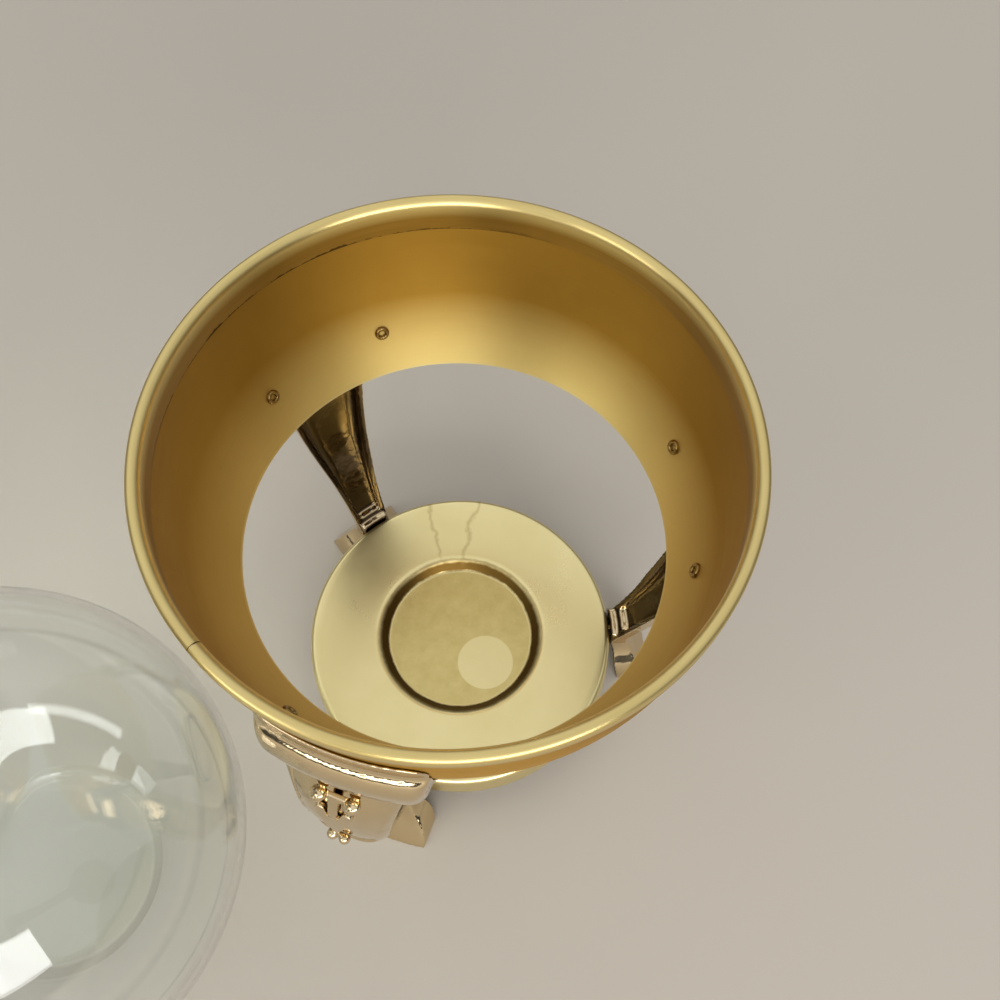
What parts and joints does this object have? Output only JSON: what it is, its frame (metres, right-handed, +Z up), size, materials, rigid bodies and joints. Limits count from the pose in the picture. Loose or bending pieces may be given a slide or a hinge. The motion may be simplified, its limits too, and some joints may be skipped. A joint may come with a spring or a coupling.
{
  "type": "carafe with warming stand",
  "caption": "Round glass carafe with a banded neck, side handle and hinged lid, beside an open brass warming stand with curved legs and a dished candle plate.",
  "frame": {"origin": "on the table, at the middle of the pair's bounding box", "axes": "+Z up; +X to the right and +Y away, seen from the side where the carafe stands front left"},
  "size_m": [0.2598, 0.1965, 0.1774],
  "materials": {
    "spun_brass": "satin, brushed round",
    "cast_brass": "polished casting",
    "bright_brass": "polished",
    "fasteners": "polished, darkened",
    "clear_glass": "clear",
    "liner": "matt",
    "black_moulding": "gloss"
  },
  "bodies": {
    "stand": {"collar": "spun_brass", "rim_trim": "bright_brass", "dish": "spun_brass", "leg_right": "cast_brass", "leg_back": "cast_brass", "leg_front": "cast_brass", "ornament_right": "cast_brass", "ornament_back": "cast_brass", "ornament_front": "cast_brass", "leg_rivets": "fasteners", "dish_rivets": "fasteners"},
    "carafe": {"carafe_glass": "clear_glass", "neck_liner": "liner", "neck_band": "bright_brass", "band_screw": "fasteners", "band_nut": "fasteners", "hinge_plate": "bright_brass", "handle": "black_moulding", "hinge_pin": "fasteners"},
    "lid": {"lid": "bright_brass", "lid_bracket": "bright_brass", "lid_rivets": "fasteners", "lid_knob": "black_moulding", "knob_screw": "fasteners"}
  },
  "joints": [
    {"name": "carafe_lift", "type": "slide", "parent": "stand", "child": "carafe", "axis": [0, 0, 1], "range_m": [0, 0.2]},
    {"name": "lid_hinge", "type": "hinge", "parent": "carafe", "child": "lid", "pos_m": [-0.08737, -0.05959, 0.15541], "axis": [0.5299, -0.848, 0], "range_deg": [0, 95]}
  ]
}
